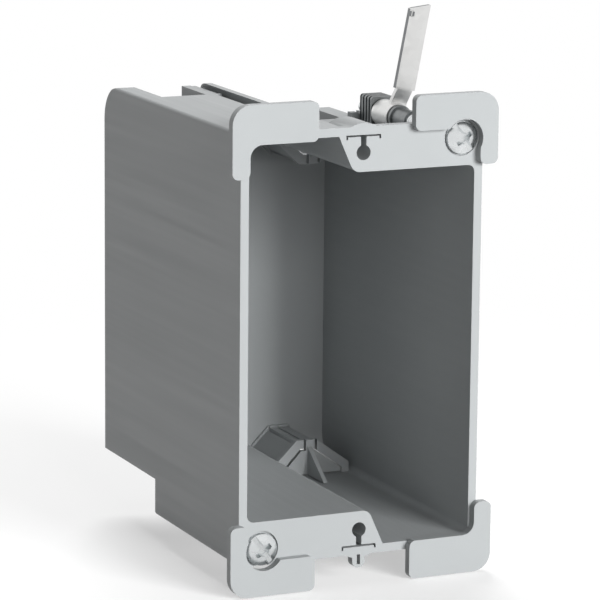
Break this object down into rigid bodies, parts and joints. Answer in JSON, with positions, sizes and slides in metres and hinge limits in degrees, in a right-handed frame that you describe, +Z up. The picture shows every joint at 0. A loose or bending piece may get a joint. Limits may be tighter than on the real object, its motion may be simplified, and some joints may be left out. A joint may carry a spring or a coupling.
{
  "type": "switch box",
  "caption": "Single-gang plastic switch box for a finished wall, with corner ears, inner cable clamps and swing brackets on long clamp screws.",
  "frame": {"origin": "midway between the device-screw holes, on the front face of the rim", "axes": "+X to the right seen from the front, +Y into the wall, +Z up"},
  "size_m": [0.0626, 0.0814, 0.1223],
  "materials": {
    "moulded_plastic": "moulded light grey plastic",
    "zinc_screw": "bright zinc plate",
    "zinc_nut": "zinc plate",
    "galvanised_strip": "galvanised steel"
  },
  "bodies": {
    "shell": {"box_shell": "moulded_plastic"},
    "top_screw": {"top_clamp_screw": "zinc_screw"},
    "top_nut": {"top_clamp_nut": "zinc_nut"},
    "top_bracket": {"top_swing_bracket": "galvanised_strip"},
    "bottom_screw": {"bottom_clamp_screw": "zinc_screw"},
    "bottom_nut": {"bottom_clamp_nut": "zinc_nut"},
    "bottom_bracket": {"bottom_swing_bracket": "galvanised_strip"}
  },
  "joints": [
    {"name": "top_screw_turn", "type": "hinge", "parent": "shell", "child": "top_screw", "pos_m": [0.0233, 0, 0.0436], "axis": [0, 1, 0], "range_deg": [-180, 8250]},
    {"name": "top_nut_travel", "type": "slide", "parent": "shell", "child": "top_nut", "axis": [0, -1, 0], "range_m": [-0.00039, 0.01818]},
    {"name": "top_bracket_swing", "type": "hinge", "parent": "top_nut", "child": "top_bracket", "pos_m": [0.0233, 0, 0.0436], "axis": [0, -1, 0], "range_deg": [0, 101]},
    {"name": "bottom_screw_turn", "type": "hinge", "parent": "shell", "child": "bottom_screw", "pos_m": [-0.0233, 0, -0.0436], "axis": [0, 1, 0], "range_deg": [-180, 8250]},
    {"name": "bottom_nut_travel", "type": "slide", "parent": "shell", "child": "bottom_nut", "axis": [0, -1, 0], "range_m": [-0.00039, 0.01818]},
    {"name": "bottom_bracket_swing", "type": "hinge", "parent": "bottom_nut", "child": "bottom_bracket", "pos_m": [-0.0233, 0, -0.0436], "axis": [0, 1, 0], "range_deg": [0, 101]}
  ],
  "couplings": [
    {"joint": "top_screw_turn", "follows": "top_nut_travel", "rad_per_m": 7915.8},
    {"joint": "bottom_screw_turn", "follows": "bottom_nut_travel", "rad_per_m": 7915.8}
  ]
}
